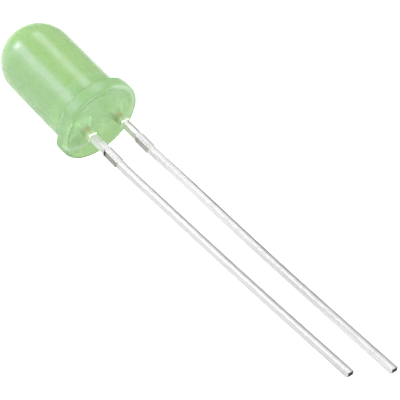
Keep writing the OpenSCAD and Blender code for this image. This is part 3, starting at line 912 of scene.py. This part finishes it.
def makeFloor():
    stage = stageSizes
    half = stage["floor"] / 2
    mesh = bpy.data.meshes.new("floor")
    corners = [(-half, -half, 0), (half, -half, 0), (half, half, 0), (-half, half, 0)]
    mesh.from_pydata(corners, [], [(0, 1, 2, 3)])
    floor = linked("floor", mesh)
    material = bpy.data.materials.new("paleFloor")
    tree, sockets = startMaterial(material)
    spot = put(tree, "ShaderNodeTexCoord").outputs["Object"]
    patches = ranged(tree, noise(tree, spot, stage["patchScale"], 2.0), *stage["patches"])
    feed(tree, sockets, {
        "Base Color": mixed(tree, patches, stage["floorColour"], stage["floorPatches"]),
        "Roughness": stage["floorRoughness"], "Specular IOR Level": stage["floorSpecular"],
        "Emission Color": stage["floorSeen"],
        "Emission Strength": times(tree, seenByCamera(tree), stage["floorGlow"])})
    mesh.materials.append(material)


def makeSky():  # darker just above the horizon, beyond the flange
    stage = stageSizes
    world = bpy.data.worlds.new("studio")
    bpy.context.scene.world = world
    world.use_nodes = True
    tree = world.node_tree
    tree.nodes.clear()
    towards = put(tree, "ShaderNodeTexCoord").outputs["Generated"]
    behind = vectors(tree, "DOT_PRODUCT", towards, stage["horizonDirection"])
    dark = times(tree, ranged(tree, behind, *stage["horizonReach"]),
                 ranged(tree, partsOf(tree, towards)[2], *stage["horizonHeight"]))
    glow = plus(tree, stage["sky"], times(tree, dark, stage["horizon"] - stage["sky"]))
    seen = seenByCamera(tree)
    glow = plus(tree, times(tree, minus(tree, 1.0, seen), glow), times(tree, seen, stage["skySeen"]))
    sky = put(tree, "ShaderNodeBackground", {0: (1.0, 1.0, 1.0, 1.0), 1: glow})
    put(tree, "ShaderNodeOutputWorld", {0: sky.outputs[0]})


# Each box stands half a metre from the middle of the case, where "towards" points, and faces it.
# "along" is the way its long side runs.
boxMiddle, boxDistance, coolLight = Vector((-0.013, 0.0, 0.003)), 0.5, (0.87, 0.85, 1.0)
softBoxes = [
    {"name": "windowBox", "towards": (-0.60, -0.60, 0.54), "along": (-0.35, 0.21, -0.16),
     "long": 0.44, "wide": 0.17, "radiance": 8.3, "colour": coolLight},
    {"name": "besideBox", "towards": (-0.60, -0.743, 0.315), "along": (-0.35, 0.21, -0.16),
     "long": 0.44, "wide": 0.16, "radiance": 2.7, "colour": coolLight},
    {"name": "topBox", "towards": (-0.355, 0.19, 0.915), "along": (-0.9, 0.1, -0.35),
     "long": 0.36, "wide": 0.17, "radiance": 7.2, "colour": (0.87, 0.85, 0.85)},
    {"name": "spotBox", "towards": (-0.757, -0.484, 0.438), "along": (0.0, 0.4, 0.9),
     "long": 0.10, "wide": 0.09, "radiance": 24.0, "colour": (0.85, 0.95, 0.8)},
    {"name": "fillBox", "towards": (0.975, -0.12, 0.2), "along": (0.12, 0.975, 0.0),
     "long": 0.30, "wide": 0.18, "radiance": 14.0, "colour": coolLight},
    {"name": "rightBox", "towards": (0.35, 0.88, 0.33), "along": (-0.88, 0.35, 0.0),
     "long": 0.40, "wide": 0.30, "radiance": 3.1, "colour": coolLight}]


def makeSoftBox(box):
    light = bpy.data.lights.new(box["name"], "AREA")
    light.shape = "RECTANGLE"
    light.size, light.size_y = box["long"], box["wide"]
    light.energy = box["radiance"] * math.pi * box["long"] * box["wide"]
    light.color = box["colour"]
    back, along = Vector(box["towards"]).normalized(), Vector(box["along"])
    side = (along - back * back.dot(along)).normalized()
    turn = Matrix((side, back.cross(side), back)).transposed()
    linked(box["name"], light).matrix_world = Matrix.Translation(boxMiddle + back * boxDistance) @ turn.to_4x4()


cameraSizes = {
    "lens": 293.945, "sensor": 36.0, "nearest": 0.01, "farthest": 10.0, "place": (114.3444, -118.903, 120.8408),
    "right": (0.6564216, 0.7450811, 0.118173), "up": (-0.5039765, 0.3165494, 0.8036194)}


def makeCamera():
    view = cameraSizes
    data = bpy.data.cameras.new("camera")
    data.lens, data.sensor_width = view["lens"], view["sensor"]
    data.clip_start, data.clip_end = view["nearest"], view["farthest"]
    camera = linked("camera", data)
    right, up = Vector(view["right"]), Vector(view["up"])
    turn = Matrix((right, up, right.cross(up))).transposed()
    camera.matrix_world = Matrix.Translation(Vector(view["place"]) * mm) @ turn.to_4x4()
    bpy.context.scene.camera = camera


makeFloor()
makeSky()
for softBox in softBoxes:
    makeSoftBox(softBox)
makeCamera()
bpy.context.scene.view_settings.view_transform = "Standard"
print("stage, lights and camera are set")
